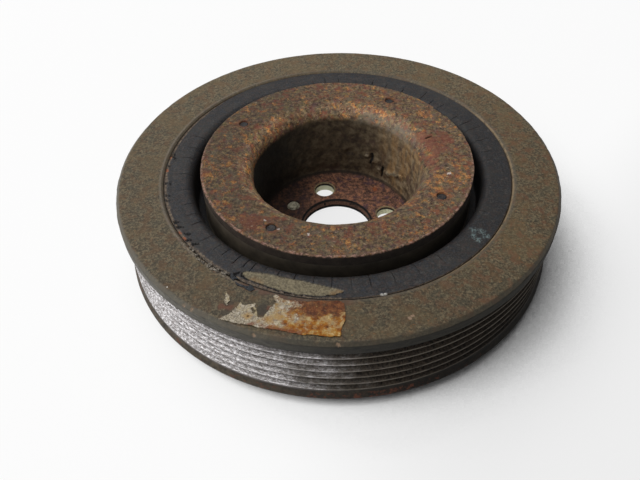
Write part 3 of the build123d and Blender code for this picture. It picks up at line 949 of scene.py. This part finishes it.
def hub_depth(place):
    """How deep rust has eaten the hub: scale and pits in the open, less where it is hidden."""
    radius, height = place.radius, place.height
    scale = 0.11 + 0.13 * lumps(place.at, 5, 5, 1)
    pits = 0.16 * smooth(lumps(place.at, 1.7, 3, 2), 0.25, 0.7)
    in_cup = smooth(radius, CUP_R + 3, CUP_R) * smooth(height, SHEET + 1, SHEET + 4)
    rough = 0.3 * smooth(lumps(place.at, 4.5, 4, 5), -0.3, 0.6)
    deep = np.clip(scale + pits, 0, 0.45) * (1 - 0.5 * in_cup) + in_cup * rough
    deep += 0.55 * place.split - 0.75 * place.scabs * in_cup
    deep += 0.7 * wall_blots(place, [CUP_DIMPLE], 1, 0.2) * in_cup
    hidden = (height < DISC_UNDER + 0.1) & (radius > CUP_R + 1)
    deep = np.where(hidden, 0.4 * np.clip(scale, 0, 0.2), deep)
    skirt = (radius > HUB_R - 0.2) & (height < HUB_TOP - 0.5)
    deep = np.where(skirt, np.clip(0.25 * scale, 0.02, 0.1), deep)
    return deep * smooth(height, 0.02, 0.5)


def hub_drills():
    """Cutters for the hub's holes, flared at the top."""
    flare = [(0, -1), (1, -1), (1, SHEET - 0.45), (1.12, SHEET - 0.05), (1.35, SHEET + 0.8)]
    flare += [(0, SHEET + 0.8)]
    drills = []
    for angle, hole_r in [(angle, BOLT_R) for angle in BOLT_ANGLES] + [(DOWEL_ANGLE, DOWEL_R)]:
        outline = [(share * hole_r, height) for share, height in flare]
        drills.append(turned("drill", outline, spoke(angle, BOLT_CIRCLE_R)))
    outline = [(0, DISC_UNDER - 1), (PIN_R, DISC_UNDER - 1), (PIN_R, HUB_TOP - 0.4)]
    outline += [(PIN_R + 0.4, HUB_TOP + 0.2), (0, HUB_TOP + 0.2)]
    drills += [turned("drill", outline, spoke(angle, PIN_CIRCLE_R), 28) for angle in PIN_ANGLES]
    return drills


def make_hub():
    angles = np.unique(np.concatenate([np.arange(0, 360, 1.0), np.arange(15, 80, 0.5)]))
    hub = spun("hub_detail", HUB_OUTLINE, angles, hub_depth, hub_marks)
    cut(hub, hub_drills())
    dress(hub, rusted_steel(), "hub_steel", "hub")


# ---- the ring ----


def ring_outline():
    back_seat, front_seat = RING_BACK + SEAT_DEPTH, RING_FRONT - SEAT_DEPTH
    corners = [
        (RING_BORE_R, back_seat, 0, 3),
        (SEAT_R, back_seat, 0, 1),
        (SEAT_R, RING_BACK + SEAT_CHAMFER, 0, 1),
        (SEAT_R + SEAT_CHAMFER, RING_BACK, 0, 1.5),
        (RING_R, RING_BACK, 0.5, 0.6),
        (RING_R, RING_BACK + 1.1, 0.2, 0.6),
        (RIB_R, FIELD_BOTTOM - 0.9, 0, 0.5),
    ]
    half_top, half_floor = (PITCH - RIB_FLAT) / 2, GROOVE_FLAT / 2
    bottom_r = RIB_R - GROOVE_DEPTH
    for k in reversed(range(GROOVES)):
        middle = FIELD_TOP - (k + 0.5) * PITCH
        corners += [
            (RIB_R, middle - half_top, 0.25, 0.75),
            (bottom_r, middle - half_floor, 0.2, 0.75),
            (bottom_r, middle + half_floor, 0.2, 0.75),
            (RIB_R, middle + half_top, 0.25, 0.75),
        ]
    return corners + [
        (RIB_R, FIELD_TOP, 0, 0.5),
        (RING_R, FIELD_TOP + 0.5, 0.15, 0.7),
        (RING_R, RING_FRONT - EDGE_CHAMFER, 0.5, 0.4),
        (RING_R - EDGE_CHAMFER, RING_FRONT, 0.5, 1.0),
        (SEAT_R + SEAT_CHAMFER, RING_FRONT, 0.3, 0.4),
        (SEAT_R, RING_FRONT - SEAT_CHAMFER, 0, 1),
        (SEAT_R, front_seat, 0, 2),
        (RING_BORE_R, front_seat, 0, 4),
    ]


def ring_depth(place):
    """A slightly uneven casting, with a knocked front rim."""
    deep = 0.025 + 0.025 * lumps(place.at, 4, 4, 7)
    rim = smooth(place.radius, RING_R - 1.6, RING_R - 0.6)
    rim = rim * smooth(place.height, RING_FRONT - 2.2, RING_FRONT - 1.2)
    deep += rim * 0.12 * smooth(lumps(place.at, 5, 4, 8), 0.0, 0.6)
    for (angle, radius), size in zip(RIM_DENTS, DENT_SIZES):
        away = np.linalg.norm(place.at - spoke(angle, radius, RING_FRONT - 0.6), axis=1)
        deep += 0.35 * smooth(away, size, size * 0.2)
    return np.clip(deep, 0, None)


def make_ring():
    angles = np.unique(np.concatenate([np.arange(0, 360, 0.75), np.arange(232.5, 255, 0.375)]))
    ring = spun("ring_detail", ring_outline(), angles, ring_depth)
    dress(ring, oxidised_iron(), "ring_iron", "pulley_ring")


# ---- the rubber ----

RUBBER_OUTLINE = [
    (SEAT_R, RING_FRONT - SEAT_DEPTH, 0, 0.5),
    (SEAT_R, RUBBER_FRONT, 0, 0.3),
    (LIP_R, RUBBER_FRONT, LIP_ROUND, 2.5),
    (LIP_R, GROOVE_FLOOR, GROOVE_CORNER, 1),
    (HUB_R, GROOVE_FLOOR, GROOVE_CORNER, 2.5),
    (HUB_R, DISC_UNDER, 0, 1),
    (COLLAR_R, DISC_UNDER, 0, 15),
    (COLLAR_R, COLLAR_END, 0, 5),
    (COLLAR_IN, COLLAR_END, 0, 15),
    (COLLAR_IN, DISC_UNDER, 0, 5),
    (CUP_R + SHEET + MOUTH_BEVEL, DISC_UNDER, 0, 1),
    (CUP_R + SHEET + MOUTH_BEVEL, DISC_UNDER - SKIN, 0, 3),
    (COLLAR_IN - SKIN, DISC_UNDER - SKIN, 1.5, 5),
    (COLLAR_IN - SKIN, COLLAR_END - SKIN, 0.6, 1.5),
    (HUB_R, COLLAR_END - SKIN, 0.6, 1.5),
    (HUB_R, GROOVE_ROOF, GROOVE_CORNER, 1.5),
    (LIP_R, GROOVE_ROOF, GROOVE_CORNER, 1.5),
    (LIP_R, RUBBER_BACK, 2.0, 2),
    (SEAT_R, RUBBER_BACK, 0, 0.6),
    (SEAT_R, RING_BACK + SEAT_DEPTH, 0, 3),
    (RING_BORE_R, RING_BACK + SEAT_DEPTH, 0, 4),
    (RING_BORE_R, RING_FRONT - SEAT_DEPTH, 0, 3),
]


def rubber_angles():
    """The rubber's columns, close together where it is torn and round each crack, and the cracks."""
    random = np.random.default_rng(11)
    extra, at = [], 2.0
    while at < 175:
        extra.append(at)
        at += random.uniform(4.5, 9.5)
    cracks = np.array(FRONT_CRACKS + extra)
    columns = [np.arange(-180, 180, 1.0), np.arange(-168, -121, 0.5), np.arange(-121, -87, 0.22)]
    columns += [cracks + turn for turn in (-0.2, 0, 0.2)]
    columns = np.unique(np.round(np.concatenate(columns), 3))
    apart = np.diff(columns, append=columns[0] + 360)
    return columns[apart > 0.045], cracks, random


def rubber_marks(place):
    """Where the skin has peeled off the primer, where its outer edge is gone, and black tears."""
    at, radius, angle = place.at, place.radius, place.angle
    on_face = (place.height > RUBBER_FRONT - 0.05) & (radius > LIP_R + 1)
    wander = 0.35 * lumps(at, 1.4, 4, 14)
    ragged = np.abs(lumps(at / radius[:, None] * 64, 2.2, 5, 12))
    inner = np.interp(angle, *np.array(STRIP_INNER).T, left=99, right=99)
    outer = np.interp(angle, *np.array(STRIP_OUTER).T, left=0, right=0)
    peeled = smooth(radius, inner - 0.15, inner + 0.1) * smooth(radius + wander, outer + 0.12, outer - 0.12)
    left = smooth(np.abs((angle + 360) % 360 - 205), 78, 50)
    edge = SEAT_R - 0.22 - left * (0.6 + 0.9 * ragged)
    bared = smooth(radius, edge - 0.12, edge + 0.08)
    below = smooth(radius + 1.5 * wander, outer + 0.55, outer + 0.3) * (outer > 0)
    torn = smooth(radius, outer - 0.1, outer + 0.1) * below
    for turn, pit_r in TORN_PITS:
        along = (radius - pit_r) / 1.3 + wander
        width = 0.5 + 0.35 * np.clip(along, -1, 1)
        across = np.radians(angle - turn + (radius - pit_r) * 0.5) * 62 / width
        torn = np.maximum(torn, smooth(np.maximum(np.abs(along), np.abs(across)) + wander, 1.0, 0.75))
    return {"peeled": peeled * on_face, "bared": bared * on_face, "torn": torn * on_face}


def make_rubber():
    angles, cracks, random = rubber_angles()
    starts = random.uniform(53.5, 56, len(cracks))
    ends = random.uniform(57.5, 62.5, len(cracks))
    depths = random.uniform(0.12, 0.4, len(cracks))

    def depth(place):
        """Peeled, torn and cracked places. What is bonded to the collar stays as it is."""
        radius, height = place.radius, place.height
        shown = (height > RUBBER_FRONT - 5) & (radius > LIP_R - 1)
        deep = 0.03 + 0.05 * lumps(place.at, 3, 4, 15) * shown
        deep += 0.35 * place.peeled + 0.28 * place.bared + 0.6 * place.torn
        whole = smooth(height, RUBBER_FRONT - 5, RUBBER_FRONT - 3) * (1 - place.peeled)
        for turn, start, end, crack_depth in zip(cracks, starts, ends, depths):
            bend = (radius - 58) ** 2 * 0.012 * (1 if turn > -100 else -1)
            across = np.abs(turn_from(place.angle, turn + bend))
            along = smooth(radius, start - 1, start + 1) * smooth(radius, end + 1.5, end)
            deep += crack_depth * smooth(across, 0.2, 0.03) * along * whole
        free = (radius > COLLAR_R + 0.2) | (radius < COLLAR_IN)
        return np.where(free, np.clip(deep, 0, None), 0)

    finish = old_rubber()
    rubber = spun("rubber_detail", RUBBER_OUTLINE, angles, depth, rubber_marks)
    dress(rubber, finish, "rubber", "rubber_spring")
    low, top, plug_r = DISC_UNDER - 0.5, HUB_TOP - PLUG_DROP + 0.3, PIN_R - 0.05
    dome = [(0, low), (plug_r, low), (plug_r, top - 0.3), (PIN_R * 0.7, top), (0, top - 0.15)]
    for k, angle in enumerate(PIN_ANGLES):
        dress(turned(f"hole_plug_{k + 1}", dome, spoke(angle, PIN_CIRCLE_R), 28), finish, "rubber")


# ---- the label, torn rubber and dirt ----


def make_label():
    def top(radius, edge, points):
        wrinkle = 0.12 * np.abs(lumps(points, 3.5, 4, 21)) + 0.1 * np.abs(lumps(points, 1.2, 3, 22))
        curl = (1 - edge) * 0.22 * smooth(lumps(points, 2.5, 2, 23), 0.0, 0.5)
        return RING_FRONT + 0.16 + wrinkle + curl

    def keep(angle, radius, points):
        holes = lumps(points, 2.4, 4, 24) + 0.3 * smooth(-angle, 104, 110)
        return (holes < 0.9) | (angle > -103)

    finish = stained_paper()
    label = flake("label_remnant_detail", LABEL_EDGE, 0.22, 0.24, top, 0.12, keep)
    dress(label, finish, "paper", "label_remnant")
    dress(flake("label_scrap", LABEL_SCRAP, 0.2, 0.4, top, 0.12), finish, "paper")


def make_torn_rubber():
    """A strip of the rubber's skin, with a hole in it, and frayed bits over the ring's inner edge."""

    def top(radius, edge, points):
        creases = 0.25 * np.abs(lumps(points, 1.5, 3, 31))
        return RING_FRONT + 0.2 + creases - 0.3 * smooth(radius, 65.6, 64.4)

    def around_hole(angle, radius, points):
        return np.hypot((angle + 117.6) / 2.6, (radius - 65.9) / 0.75) > 1

    def frayed(angle, radius, points):
        return lumps(points, 1.3, 3, 41) < 0.12

    black = plain("torn_rubber", [(20, 20, 22), (58, 62, 68)], 0.8, 11, 0.5, 0.2)
    dress(flake("rubber_shred", RUBBER_SHRED, 0.16, 0.5, top, 0.25, around_hole), black, "rubber")
    grey = plain("frayed_rubber", [(42, 40, 38), (96, 88, 78), (164, 156, 144)], 0.9, 13, 0.7, 0.2)
    dress(flake("rubber_fray", RUBBER_FRAY, 0.16, 0.45, top, 0.2, frayed), grey, "rubber")


def make_dirt():
    """What has packed into the dowel hole."""
    soil = plain("packed_dirt", [(92, 88, 74), (190, 184, 162)], 1.1, 11, 0.9, 0.3)
    mound = [(0, 0.6), (DOWEL_R - 0.15, 0.6), (DOWEL_R - 0.1, 3.2), (DOWEL_R * 0.7, 4.1), (0, 4.5)]
    dress(turned("dowel_hole_dirt", mound, spoke(DOWEL_ANGLE, BOLT_CIRCLE_R)), soil, "hub_steel")


# ---- floor, light and camera ----


def make_floor():
    """A pale table, which the camera sees as bright as the backdrop apart from the object's soft shadow,
    partly cast by the lamp and partly painted.
    """
    s = Finish("pale_table")
    seen = s.add("ShaderNodeLightPath").outputs["Is Camera Ray"]
    away = s.add("ShaderNodeCombineXYZ", X=SHADOW_FROM[0], Y=SHADOW_FROM[1], Z=SHADOW_FROM[2]).outputs[0]
    # Painted shadow: the table's glow for the camera fades where the object blocks the sky from the left.
    shadow = s.add("ShaderNodeAmbientOcclusion", Distance=SHADOW_REACH * MM, Normal=away)
    shadow.samples = 16
    core, fringe = s.step(shadow.outputs["AO"], 0.29, 0.55), s.step(shadow.outputs["AO"], 0.29, 0.82)
    # Painted light: inside the bore the glow is held up.
    in_bore = s.both(s.step(s.radius, CUP_R, CUP_R - 3), 0.88)
    glow_with_painted_shadow = s.either(s.math("ADD", s.both(core, 0.84), s.both(fringe, 0.16)), in_bore)
    # Painted shade: the glow is dimmed towards the far right.
    painted_room_shade = s.both(s.step(s.plus(s.across, s.along, -0.9), 65, 145), s.step(s.radius, 600, 160))
    glow = s.both(seen, glow_with_painted_shadow, s.plus(1.0, painted_room_shade, -0.13), TABLE_GLOW)
    s.put(s.shader.inputs["Emission Strength"], glow)
    s.shader.inputs["Emission Color"].default_value = (1, 1, 1, 1)
    floor = turned("floor", [(0, -6), (3000, -6), (3000, -0.02), (0, -0.02)], np.zeros(3), 64)
    floor.data.materials.append(s.end(s.mix(seen, TABLE, TABLE_SEEN), 0.9, 0.0, 0.1))


def make_world():
    """A white backdrop for the camera, a graded one for glossy surfaces, and a dimmer room light."""
    world = bpy.data.worlds.new("studio")
    bpy.context.scene.world = world
    world.use_nodes = True
    w = Nodes(world.node_tree)
    ray = w.add("ShaderNodeLightPath").outputs
    way = w.add("ShaderNodeSeparateXYZ", Vector=w.add("ShaderNodeTexCoord").outputs["Generated"]).outputs
    backdrop = w.both(w.span(way["X"], -0.7, 0.7, 1.0, 0.45), w.span(way["Z"], 0.3, 0.85, 1.05, 0.2))
    room = w.span(way["X"], -1.0, 0.8, 0.8, 0.0, "LINEAR")
    unseen = w.mix(w.either(ray["Is Glossy Ray"], ray["Is Transmission Ray"]), room, backdrop)
    background = world.node_tree.nodes["Background"]
    background.inputs["Color"].default_value = (1, 1, 1, 1)
    w.put(background.inputs["Strength"], w.mix(ray["Is Camera Ray"], unseen, (255, 255, 255)))


def make_lamp():
    lamp = bpy.data.lights.new("window", "AREA")
    lamp.shape, lamp.size = "SQUARE", LAMP_SIZE * MM
    lamp.energy = LAMP_POWER
    holder = bpy.data.objects.new("window", lamp)
    bpy.context.scene.collection.objects.link(holder)
    holder.location = Vector(LAMP_AT) * MM
    holder.rotation_euler = (-holder.location).to_track_quat("-Z", "Y").to_euler()


def make_camera():
    data = bpy.data.cameras.new("camera")
    data.lens, data.sensor_width = CAMERA_LENS, CAMERA_SENSOR
    data.clip_start, data.clip_end = 0.01, 20
    camera = bpy.data.objects.new("camera", data)
    bpy.context.scene.collection.objects.link(camera)
    aim = (Vector(CAMERA_AIM) - Vector(CAMERA_AT)).to_track_quat("-Z", "Y").to_matrix().to_4x4()
    roll = Matrix.Rotation(-math.radians(CAMERA_ROLL), 4, "Z")
    camera.matrix_world = Matrix.Translation(Vector(CAMERA_AT) * MM) @ aim @ roll
    bpy.context.scene.camera = camera


make_hub()
make_ring()
make_rubber()
make_label()
make_torn_rubber()
make_dirt()
make_floor()
make_world()
make_lamp()
make_camera()
bpy.context.scene.view_settings.view_transform = "Standard"
